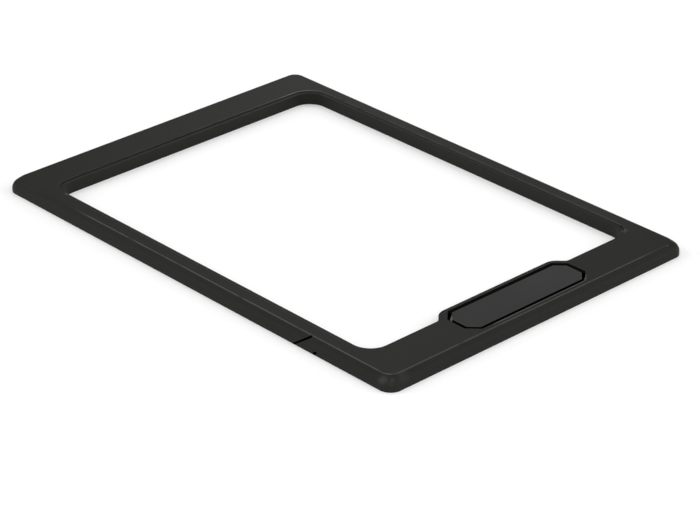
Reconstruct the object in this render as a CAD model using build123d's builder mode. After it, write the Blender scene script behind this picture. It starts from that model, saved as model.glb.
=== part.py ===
"""Height spacer frame for a slim 2.5-inch drive, moulded in one piece.

The frame lies flat on the drive. X runs across the drive, Y runs along it, and Z points up.
The origin is at the middle of the underside.
"""
import os

from build123d import *

# Overall size: the drive's footprint, and the step between two standard drive heights
frame_length = 100.0
frame_width = 69.85
frame_height = 2.5

# Outer wall: upright from the foot, then a sloping shoulder in to the top face
shoulder_width = 1.3
shoulder_drop = 1.1
shoulder_round = 1.5
foot_corner_radius = 2.3
top_corner_radius = 1.8
top_edge_round = 0.3

# Rails, from the outer foot edge in to the wall of the window
side_rail = 4.33
far_rail = 9.0
front_rail = 9.3
window_corner_radius = 3.6

# Ledge that steps down from the top face all round the window
ledge_width = 0.88
ledge_drop = 0.26
ledge_edge_round = 0.12

# Swelling of the front rail into the window, with ends at 45 degrees
swell_depth = 2.0
swell_end_inset = 1.0
swell_tip_round = 1.7
swell_root_round = 1.0

# Badge: a bare eight-sided field inside a narrow groove
badge_length = 28.5
badge_front_margin = 0.9
badge_back_margin = 0.27
badge_corner_cut = 2.0
badge_corner_round = 0.2
groove_width = 0.55
groove_depth = 0.6
field_drop = 0.08
groove_lip_round = 0.1

# Top face outline, inside the shoulder
top_width = frame_width - 2 * shoulder_width
top_length = frame_length - 2 * shoulder_width
upright_height = frame_height - shoulder_drop

# Window outline
window_side = frame_width / 2 - side_rail
window_far = frame_length / 2 - far_rail
window_front = front_rail - frame_length / 2
swell_front = window_front + swell_depth
swell_half = badge_length / 2 - swell_end_inset

# Badge outline: it fills the top face between the outer edge and the swelling's ledge
badge_front = shoulder_width + badge_front_margin - frame_length / 2
badge_back = swell_front - ledge_width - badge_back_margin
badge_width = badge_back - badge_front
badge_centre = (badge_front + badge_back) / 2

with BuildPart() as spacer_frame:
    # Solid block: the upright wall runs into the shoulder in one soft curve, and the top edge is crisp
    with BuildSketch():
        RectangleRounded(frame_width, frame_length, foot_corner_radius)
    extrude(amount=upright_height)
    with BuildSketch(Plane.XY.offset(upright_height)):
        RectangleRounded(frame_width, frame_length, foot_corner_radius)
    with BuildSketch(Plane.XY.offset(frame_height)):
        RectangleRounded(top_width, top_length, top_corner_radius)
    loft(ruled=True)
    shoulder_edges = spacer_frame.edges().group_by(Axis.Z)[2]
    fillet(shoulder_edges, shoulder_round)
    top_edges = spacer_frame.edges().group_by(Axis.Z)[-1]
    fillet(top_edges, top_edge_round)

    # Window right through, with the front rail swelling into it
    with BuildSketch() as window:
        with BuildLine():
            Polyline(
                (-window_side, window_front),
                (-swell_half - swell_depth, window_front),
                (-swell_half, swell_front),
                (swell_half, swell_front),
                (swell_half + swell_depth, window_front),
                (window_side, window_front),
                (window_side, window_far),
                (-window_side, window_far),
                close=True,
            )
        make_face()
        swell_tips = window.vertices().group_by(Axis.Y)[1]
        fillet(swell_tips, swell_tip_round + ledge_width)
        swell_roots = window.vertices().group_by(Axis.Y)[0].sort_by(Axis.X)[1:3]
        fillet(swell_roots, swell_root_round)
        corner_rows = window.vertices().group_by(Axis.X)
        fillet(corner_rows[0] + corner_rows[-1], window_corner_radius)
    extrude(amount=frame_height, mode=Mode.SUBTRACT)

    # Ledge round the window
    with BuildSketch(Plane.XY.offset(frame_height)):
        offset(window.sketch_local, amount=ledge_width)
    extrude(amount=-ledge_drop, mode=Mode.SUBTRACT)
    ledge_face, top_face = spacer_frame.faces().filter_by(Axis.Z).sort_by(Axis.Z)[-2:]
    fillet(top_face.inner_wires().edges() + ledge_face.inner_wires().edges(), ledge_edge_round)

    # Groove round the badge, and the field inside it
    with BuildSketch(Plane.XY.offset(frame_height)) as badge:
        with Locations((0, badge_centre)):
            Rectangle(badge_length, badge_width)
        chamfer(badge.vertices(), badge_corner_cut)
        fillet(badge.vertices(), badge_corner_round)
    extrude(amount=-groove_depth, mode=Mode.SUBTRACT)
    with BuildSketch(Plane.XY.offset(frame_height - groove_depth)):
        offset(badge.sketch_local, amount=-groove_width)
    extrude(amount=groove_depth - field_drop)
    top_face = spacer_frame.faces().sort_by(Axis.Z)[-1]
    field_face = spacer_frame.faces().sort_by_distance((0, badge_centre, frame_height))[0]
    groove_lip = top_face.inner_wires().sort_by(SortBy.LENGTH)[0]
    fillet(field_face.edges() + groove_lip.edges(), groove_lip_round)

spacer_frame.part.label = "spacer_frame"

os.makedirs("parts", exist_ok=True)
export_step(spacer_frame.part, "parts/spacer_frame.step")
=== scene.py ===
import bpy
import numpy as np
from mathutils import Matrix, Vector


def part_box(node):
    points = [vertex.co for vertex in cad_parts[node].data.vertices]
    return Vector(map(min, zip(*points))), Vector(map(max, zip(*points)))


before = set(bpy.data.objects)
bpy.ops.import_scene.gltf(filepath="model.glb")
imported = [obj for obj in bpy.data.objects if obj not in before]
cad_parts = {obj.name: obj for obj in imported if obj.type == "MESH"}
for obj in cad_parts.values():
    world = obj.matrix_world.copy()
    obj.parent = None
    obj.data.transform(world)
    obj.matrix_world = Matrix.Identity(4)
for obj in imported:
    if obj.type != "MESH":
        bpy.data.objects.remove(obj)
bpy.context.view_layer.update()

# Spacer frame
# One flat frame of black plastic, injection moulded in a single shot, that lies on a slim drive.
# The mould leaves a fine matt grain on every face, and handling has polished the edges a little; a lighter
# colour paints a highlight on them.
mm = 0.001
high_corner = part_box("spacer_frame")[1]
half_width = high_corner.x / mm
half_length = high_corner.y / mm
frame_height = high_corner.z / mm

# Sizes are in millimetres. A span, band or stripe holds what the method rise, band or stripe takes.
badge_half_length = 14.25
badge_half_width = 3.975
badge_centre = -43.825
badge_corner_cut = 2.0
badge_lowest = 1.0
groove_width = 0.55

ledge_corner_x = 26.995
ledge_corner_y = 37.4
ledge_corner_radius = 4.48

plastic_colour = (0.0105, 0.0106, 0.0082, 1)
# Lighter colour of the polished edges, a painted highlight
worn_edge_highlight_colour = (0.014, 0.014, 0.012, 1)
field_left_colour = (0.0178, 0.0179, 0.0173, 1)
# The badge field grows lighter towards its right end: a painted highlight
field_right_highlight_colour = (0.0255, 0.0256, 0.0250, 1)
# Colour of the painted highlights on the groove's lip, the window's rim and the spots
painted_highlight_colour = (0.120, 0.120, 0.115, 1)
# Black of the painted shade in the groove and the scores
painted_shade_black = (0, 0, 0, 1)


class Wire:
    """An output socket of a node tree. Arithmetic on it adds Math nodes, and node() adds any other node."""

    def __init__(self, tree, socket=None):
        self.tree = tree
        self.socket = socket

    def node(self, kind, settings=None, inputs=None, output=0):
        """Adds a node, sets its settings first, then gives its sockets their values or links."""
        added = self.tree.nodes.new(kind)
        for name, value in (settings or {}).items():
            setattr(added, name, value)
        for key, value in (inputs or {}).items():
            if isinstance(value, Wire):
                self.tree.links.new(value.socket, added.inputs[key])
            else:
                added.inputs[key].default_value = value
        return Wire(self.tree, added.outputs[output]) if len(added.outputs) else None

    def maths(self, operation, *terms):
        """Adds a Math node of this operation on these numbers and values."""
        return self.node("ShaderNodeMath", {"operation": operation}, dict(enumerate(terms)))

    def __add__(self, other):
        return self.maths("ADD", self, other)

    def __radd__(self, other):
        return self.maths("ADD", other, self)

    def __sub__(self, other):
        return self.maths("SUBTRACT", self, other)

    def __rsub__(self, other):
        return self.maths("SUBTRACT", other, self)

    def __mul__(self, other):
        return self.maths("MULTIPLY", self, other)

    def __rmul__(self, other):
        return self.maths("MULTIPLY", other, self)

    def __abs__(self):
        return self.maths("ABSOLUTE", self)

    def max(self, other):
        return self.maths("MAXIMUM", self, other)

    def min(self, other):
        return self.maths("MINIMUM", self, other)

    def length(self, other):
        """Length of the vector that has this value and the other as its two parts."""
        return self.maths("SQRT", self * self + other * other)

    def rise(self, start, full):
        """Goes smoothly from 0 at the start to 1 where it is full."""
        return self.node(
            "ShaderNodeMapRange",
            {"interpolation_type": "SMOOTHSTEP"},
            {"Value": self, "From Min": start, "From Max": full},
        )

    def band(self, start, full, fade, end):
        """Rises from 0 at the start to 1 where it is full, and falls from 1 at the fade to 0 at the end."""
        return self.rise(start, full) * (1 - self.rise(fade, end))

    def stripe(self, middle, half_full, half_end):
        """1 up to one distance on both sides of the middle, falling smoothly to 0 at the other distance."""
        return 1 - abs(self - middle).rise(half_full, half_end)

    def noise(self, scale, detail, roughness=0.5):
        """Cloudy noise between 0 and 1 on this vector, with that many swells to the millimetre."""
        return self.node(
            "ShaderNodeTexNoise",
            None,
            {"Vector": self, "Scale": scale, "Detail": detail, "Roughness": roughness},
        )

    def spot(self, centre, reach):
        """1 where this place is at the centre, going smoothly to 0 at that reach from it."""
        away = self.node("ShaderNodeVectorMath", {"operation": "DISTANCE"}, {0: self, 1: centre}, "Value")
        return 1 - away.rise(0, reach)

    def scaled(self, scale):
        """This vector or colour, times a number or a value."""
        return self.node("ShaderNodeVectorMath", {"operation": "SCALE"}, {0: self, "Scale": scale})

    def mixed_value(self, first, second):
        """A number that is the first where this value is 0 and the second where it is 1."""
        return first + self * (second - first)

    def mixed(self, first, second):
        """A colour that is the first where this value is 0 and the second where it is 1."""
        return self.node("ShaderNodeMix", {"data_type": "RGBA"}, {0: self, 6: first, 7: second}, 2)


def cut_box(x, y, half_x, half_y, cut):
    """Distance outside a rectangle with its corners cut off at 45 degrees.

    It is the largest of the distances past the end wall, past the side wall and past the slanting wall.
    """
    slant = 0.5 ** 0.5
    over_x = abs(x) - half_x
    over_y = abs(y) - half_y
    corner = (over_x + over_y + cut) * slant
    return over_x.max(over_y).max(corner)


def line_distance(across, up, foot, tip):
    """Distance from a straight line on a flat face: square to it beside the line, and round its two ends."""
    run_across = tip[0] - foot[0]
    run_up = tip[1] - foot[1]
    square = run_across ** 2 + run_up ** 2
    from_across = across - foot[0]
    from_up = up - foot[1]
    along = ((from_across * run_across + from_up * run_up) * (1 / square)).max(0).min(1)
    return (from_across - along * run_across).length(from_up - along * run_up)


def edge_polish_and_highlight(place, x, y, depth):
    """Polish and painted highlight of the rounded edges, which lie just under the top face, broken up by
    noise.

    The mask gives the edges a clear coat and a lighter colour, and the lighter colour is a painted
    highlight.
    The outer edge is bright on the left rail and the badge rail, and dulls towards the far and right ends.
    The rim of the window is brightest at the right end of the far rail, and on the badge rail only the
    swelling has it.
    """
    edge_band = (-0.14, -0.09, -0.012, -0.002)
    outer_edge_span = (-2.2, -1.8)
    far_end_dulling = 0.9
    far_end_span = (26, 33)
    right_end_dulling = 0.7
    right_end_span = (24, 30)
    swell_share = 0.5
    swell_end_span = (10, 12)
    swell_rim_span = (-39.75, -39.65)
    left_rim_share = 0.4
    left_rim_gain = 0.6
    left_rim_span = (-31, -28)
    right_rim_loss = 0.4
    right_rim_span = (28, 30)
    far_rim_loss = 0.5
    far_rim_span = (36, 39)
    far_right_span = (14, 24)
    badge_rail_span = (-38, -34)
    right_rail_span = (28.5, 30)
    patch_scale = 0.35
    patch_detail = 3.0
    patch_span = (0.2, 0.5)

    far_dull = far_end_dulling * y.rise(*far_end_span)
    right_dull = right_end_dulling * x.rise(*right_end_span)
    outer_share = 1 - far_dull.max(right_dull)
    swell = swell_share * (1 - abs(x).rise(*swell_end_span)) * y.rise(*swell_rim_span)
    far_share = 1 - far_rim_loss * y.rise(*far_rim_span) * (1 - x.rise(*far_right_span))
    left_gain = left_rim_gain * x.rise(*left_rim_span)
    right_loss = right_rim_loss * x.rise(*right_rim_span)
    rail_share = (left_rim_share + left_gain - right_loss) * far_share
    off_badge_rail = y.rise(*badge_rail_span).max(x.rise(*right_rail_span))
    rim_share = off_badge_rail.mixed_value(swell, rail_share)
    outer_edge = (abs(x) - half_width).max(abs(y) - half_length).rise(*outer_edge_span)
    patches = place.noise(patch_scale, patch_detail).rise(*patch_span)
    return depth.band(*edge_band) * outer_edge.mixed_value(rim_share, outer_share) * patches


def front_lip_polish_and_highlight(x, across, badge):
    """Polish and painted highlight of the narrow strip of the top face in front of the badge's groove."""
    lip_share = 0.55
    lip_band = (0.08, 0.16, 0.34, 0.42)
    front_span = (-3.7, -3.3)
    length_band = (-10.5, -9, 11.5, 12.5)
    return lip_share * badge.band(*lip_band) * (1 - across.rise(*front_span)) * x.band(*length_band)


def groove_painted_shade(x, across, badge):
    """Painted shade: 1 in the groove, which is too deep and narrow for light to reach in.

    It is a little wider at the back, and its lip has painted shade too at the back and at the right end.
    """
    back_span = (1, 2)
    back_widening = 0.06
    inner_span = (-groove_width - 0.08, -groove_width - 0.04)
    outer_span = (-0.02, 0.02)
    lip_fade_span = (0.02, 0.06)
    right_end_span = (13, 13.2)
    right_end_front_span = (-2.8, -2.4)

    back = across.rise(*back_span)
    right_end = x.rise(*right_end_span) * across.rise(*right_end_front_span)
    groove = (badge + back_widening * back).rise(*inner_span) * (1 - badge.rise(*outer_span))
    lip_painted_shade = badge.band(*outer_span, *lip_fade_span) * back.max(right_end)
    return groove.max(lip_painted_shade)


def lip_highlight_strokes(x, across, z):
    """Painted highlights: short pale strokes on the groove's lip, one at the left end and one at the right.
    """
    left_stroke_ends = ((-13.75, 1.6), (-12.9, 2.6))
    right_stroke_ends = ((12.3, -3.85), (13.3, -2.85))
    stroke_edge = (0.1, 0.2)
    upper_half_span = (1, 1.1)
    left_stroke = line_distance(x, across, *left_stroke_ends)
    right_stroke = line_distance(x, across, *right_stroke_ends)
    return (1 - left_stroke.min(right_stroke).rise(*stroke_edge)) * z.rise(*upper_half_span)


def score_painted_shade(x, y, z):
    """Painted shade of two fine scores in the left wall near the badge end, a long one and a wider short
    one, drawn as black lines.
    """
    long_score_ends = ((-26.9, -0.25), (-30.53, 2.29))
    short_score_ends = ((-31.85, -0.10), (-32.65, 0.54))
    score_edge = (0.13, 0.22)
    short_score_widening = 0.06
    wall_span = (1.6 - half_width, 1.8 - half_width)
    long_score = line_distance(y, z, *long_score_ends)
    short_score = line_distance(y, z, *short_score_ends) - short_score_widening
    return (1 - long_score.min(short_score).rise(*score_edge)) * (1 - x.rise(*wall_span))


def rim_highlights(place, x, y, depth):
    """Painted highlights: pale lines on the window's rim at the far and right rails, and a paler ledge on
    the far rail.

    The rim there is two straight lines and a quarter circle, so the distance from it is the length of the
    vector from the circle's centre, with its negative parts put to 0, less the circle's radius.
    """
    corner_share = 0.6
    corner_stripe = (0.03, 0.08, 0.16)
    corner_depth_span = (-0.20, -0.15)
    corner_middle = (28.0, 41.0, 2.50)
    corner_reach = 8.0
    step_share = 0.3
    step_stripe = (0, 0.1, 0.2)
    step_depth_band = (-0.27, -0.25, -0.10, -0.04)
    right_rail_span = (26, 31)
    far_edge_share = 0.12
    far_edge_stripe = (0.1, 0.08, 0.16)
    far_edge_depth_span = (-0.10, -0.06)
    far_edge_start_span = (-6, 12)
    far_ledge_share = 0.035
    far_ledge_depth_band = (-0.40, -0.36, -0.25, -0.23)
    far_rail_span = (40.7, 40.9)

    rim = (x - ledge_corner_x).max(0).length((y - ledge_corner_y).max(0)) - ledge_corner_radius
    corner = rim.stripe(*corner_stripe) * depth.rise(*corner_depth_span)
    corner = corner * place.spot(corner_middle, corner_reach)
    step = rim.stripe(*step_stripe) * depth.band(*step_depth_band) * x.rise(*right_rail_span)
    far_edge = rim.stripe(*far_edge_stripe) * depth.rise(*far_edge_depth_span)
    far_edge = far_edge * x.band(*far_edge_start_span, *right_rail_span)
    far_ledge = depth.band(*far_ledge_depth_band) * y.rise(*far_rail_span)
    pale_corner = (corner_share * corner).max(step_share * step)
    return pale_corner.max(far_edge_share * far_edge).max(far_ledge_share * far_ledge)


def highlight_spots(place, depth, off_underside):
    """Painted highlights: pale spots at the near corner and on the window's rim, and a faint painted
    reflection on the right rail.
    """
    # Middle, reach and share of each spot. Four are at the near corner, and two on the window's rim.
    spots = (
        ((-34.40, -47.86, 1.77), 1.3, 0.24),
        ((-33.48, -49.01, 1.90), 0.7, 0.16),
        ((-31.62, -49.35, 1.95), 2.0, 0.08),
        ((-34.00, -49.10, 1.00), 3.2, 0.06),
        ((30.27, -40.16, 2.50), 0.9, 0.40),
        ((-30.60, 37.60, 2.24), 0.8, 0.70),
    )
    right_rail_middle = (33.0, -30.0, 2.50)
    right_rail_reach = 16.0
    right_rail_share = 0.05
    top_face_span = (-0.10, -0.02)

    pale = place.spot(right_rail_middle, right_rail_reach) * depth.rise(*top_face_span) * right_rail_share
    for middle, reach, share in spots:
        pale = pale.max(place.spot(middle, reach) * share * off_underside)
    return pale


def black_plastic():
    """Matt black plastic with moulded grain, polished edges and a smoother badge field, with painted
    highlights on edges, lips, rim and spots, and painted shade in the groove and the scores.
    """
    underside_span = (0, 0.02)
    field_edge_span = (-groove_width - 0.05, -groove_width)
    field_highlight_span = (-8, 16)
    noise_middle = 0.5
    cloud_scale = 0.09
    cloud_detail = 3.0
    cloud_tone = 0.5
    cloud_roughness = 0.1
    speckle_scale = 2.6
    speckle_detail = 2.0
    speckle_tone = 0.35
    speckle_roughness = 0.08
    matt_roughness = 0.56
    polish_smoothing = 0.25
    field_smoothing = 0.05
    grain_scale = 4.2
    grain_detail = 3.0
    grain_roughness = 0.6
    grain_height = 0.005
    plastic_sheen = 0.155
    polish_roughness = 0.3

    material = bpy.data.materials.new("black_plastic")
    material.use_nodes = True
    tree = material.node_tree
    tree.nodes.clear()
    start = Wire(tree)
    place = start.node("ShaderNodeTexCoord", output="Object").scaled(1 / mm)
    x, y, z = (start.node("ShaderNodeSeparateXYZ", None, {0: place}, axis) for axis in range(3))
    off_underside = z.rise(*underside_span)

    # The depth is measured up from the top face, so it is negative below it
    depth = z - frame_height

    # The badge is in the upper half of the frame, so the underside below it stays plain
    across = y - badge_centre
    badge = cut_box(x, across, badge_half_length, badge_half_width, badge_corner_cut).max(badge_lowest - z)
    field = 1 - badge.rise(*field_edge_span)

    # The polished edges get a clear coat, and a lighter colour that is a painted highlight
    polish_and_highlight = (edge_polish_and_highlight(place, x, y, depth) * (1 - field)).max(front_lip_polish_and_highlight(x, across, badge))
    highlight_strokes = lip_highlight_strokes(x, across, z)
    # Painted highlights on the lip strokes, the window's rim and the spots
    painted_highlight = highlight_strokes.max(rim_highlights(place, x, y, depth)).max(highlight_spots(place, depth, off_underside))
    # Painted shade: black in the groove and in the fine scores on the left wall
    painted_shade = (groove_painted_shade(x, across, badge) * (1 - highlight_strokes)).max(score_painted_shade(x, y, z) * off_underside)

    clouds = place.noise(cloud_scale, cloud_detail) - noise_middle
    speckle = place.noise(speckle_scale, speckle_detail) - noise_middle
    # The field's own tone, with a painted highlight growing towards its right end
    field_tone_and_highlight = x.rise(*field_highlight_span).mixed(field_left_colour, field_right_highlight_colour)
    colour = field.mixed(polish_and_highlight.mixed(plastic_colour, worn_edge_highlight_colour), field_tone_and_highlight)
    colour = painted_highlight.mixed(colour, painted_highlight_colour).scaled(clouds * cloud_tone + speckle * speckle_tone + 1)
    roughness = matt_roughness + clouds * cloud_roughness + speckle * speckle_roughness
    roughness = roughness - polish_and_highlight * polish_smoothing - field * field_smoothing
    grain = place.noise(grain_scale, grain_detail, grain_roughness)
    bump = start.node(
        "ShaderNodeBump",
        None,
        {"Strength": 1.0, "Distance": grain_height * mm, "Height": grain},
    )
    plastic = start.node(
        "ShaderNodeBsdfPrincipled",
        None,
        {
            "Base Color": colour,
            "Roughness": roughness,
            "Specular IOR Level": plastic_sheen,
            "Coat Weight": polish_and_highlight,
            "Coat Roughness": polish_roughness,
            "Normal": bump,
        },
    )
    # An unlit black surface that carries the painted shade
    painted_shade_surface = start.node("ShaderNodeBsdfDiffuse", None, {"Color": painted_shade_black})
    surface = start.node("ShaderNodeMixShader", None, {0: painted_shade, 1: plastic, 2: painted_shade_surface})
    start.node("ShaderNodeOutputMaterial", None, {"Surface": surface})
    return material


spacer_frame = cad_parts["spacer_frame"]
spacer_frame.data.materials.clear()
spacer_frame.data.materials.append(black_plastic())

# Floor
# A wide sheet of smooth white card that the frame lies on.
# It is matt, and it carries the frame's soft shadow.
floor_reach = 3.0
card_white = (0.98, 0.98, 0.98, 1)


def white_card():
    """Plain matt white card."""
    material = bpy.data.materials.new("white_card")
    material.use_nodes = True
    tree = material.node_tree
    tree.nodes.clear()
    start = Wire(tree)
    card = start.node("ShaderNodeBsdfDiffuse", None, {"Color": card_white})
    start.node("ShaderNodeOutputMaterial", None, {"Surface": card})
    return material


corner_x, corner_y = np.meshgrid([-floor_reach, floor_reach], [-floor_reach, floor_reach])
corners = np.stack([corner_x, corner_y, np.zeros_like(corner_x)], axis=-1).reshape(-1, 3)
floor_mesh = bpy.data.meshes.new("floor")
floor_mesh.from_pydata(corners.tolist(), [], [[0, 1, 3, 2]])
floor_mesh.materials.append(white_card())
floor = bpy.data.objects.new("floor", floor_mesh)
bpy.context.scene.collection.objects.link(floor)

# Light
# Large soft boxes stand behind, in front and on both sides, in a dim white room, and look down at the frame.
# A small lamp, low behind the far end of the right rail, lifts the top face there. The shares of the boxes
# and the room add up to about white on the floor.
room_white = (1, 1, 1, 1)
room_share = 0.22
soft_box_distance = 1.5
low_lamp_distance = 0.3
low_lamp_aim_share = 0.7
middle = Vector((0, 0, 0))
right_rail_end = Vector((half_width * mm, low_lamp_aim_share * half_length * mm, frame_height * mm))


def soft_box(name, aim, distance, azimuth, elevation, size, share):
    """A round soft box that looks at the aim from this azimuth and elevation.

    A round lamp lights a spot that faces it with its power, divided by pi and by the sum of the squares of
    its distance and its radius. A level floor gets the sine of the elevation of that, and white card shows
    it divided by pi, so the power is what gives the floor this share of white.
    """
    turn = np.radians(azimuth)
    height = np.radians(elevation)
    away = Vector((np.cos(height) * np.cos(turn), np.cos(height) * np.sin(turn), np.sin(height)))
    lamp = bpy.data.lights.new(name, "AREA")
    lamp.shape = "DISK"
    lamp.size = size
    lamp.energy = share * np.pi ** 2 * (distance ** 2 + (size / 2) ** 2) / np.sin(height)
    lamp_stand = bpy.data.objects.new(name, lamp)
    lamp_stand.location = aim + distance * away
    lamp_stand.rotation_euler = away.to_track_quat("Z", "Y").to_euler()
    bpy.context.scene.collection.objects.link(lamp_stand)


soft_box("back_soft_box", middle, soft_box_distance, azimuth=47, elevation=62, size=1.1, share=0.18)
soft_box("left_soft_box", middle, soft_box_distance, azimuth=135, elevation=27, size=1.3, share=0.138)
soft_box("right_soft_box", middle, soft_box_distance, azimuth=-47, elevation=27, size=1.3, share=0.148)
soft_box("front_soft_box", middle, soft_box_distance, azimuth=-133, elevation=45, size=1.3, share=0.36)
soft_box("low_lamp", right_rail_end, low_lamp_distance, azimuth=47, elevation=24, size=0.12, share=0.0244)

room = bpy.data.worlds.new("room")
room.use_nodes = True
room.node_tree.nodes["Background"].inputs["Color"].default_value = room_white
room.node_tree.nodes["Background"].inputs["Strength"].default_value = room_share
bpy.context.scene.world = room

# Camera
# A long lens looks down on the frame over the corner where the badge rail meets the left rail.
# Its azimuth, elevation, roll and distance are those of the photograph, fitted to the frame's edges.
photo_width = 700
focal_pixels = 2757.3
sensor_width = 36.0
azimuth = np.radians(-42.691)
elevation = np.radians(27.913)
roll = np.radians(-0.307)
distance = 485.0 * mm
aside = -2.116 * mm
above = 7.743 * mm

level = np.cos(elevation)
back = np.array([np.sin(azimuth) * level, -np.cos(azimuth) * level, np.sin(elevation)])
level_right = np.array([np.cos(azimuth), np.sin(azimuth), 0])
level_up = np.cross(back, level_right)
right = np.cos(roll) * level_right + np.sin(roll) * level_up
up = np.cos(roll) * level_up - np.sin(roll) * level_right
eye = back * distance - right * aside - up * above

lens = bpy.data.cameras.new("camera")
lens.sensor_width = sensor_width
lens.sensor_fit = "HORIZONTAL"
lens.lens = focal_pixels / photo_width * sensor_width
camera = bpy.data.objects.new("camera", lens)
camera.matrix_world = Matrix(np.vstack([np.column_stack([right, up, back, eye]), [0, 0, 0, 1]]).tolist())
bpy.context.scene.collection.objects.link(camera)
bpy.context.scene.camera = camera
bpy.context.scene.view_settings.view_transform = "Standard"
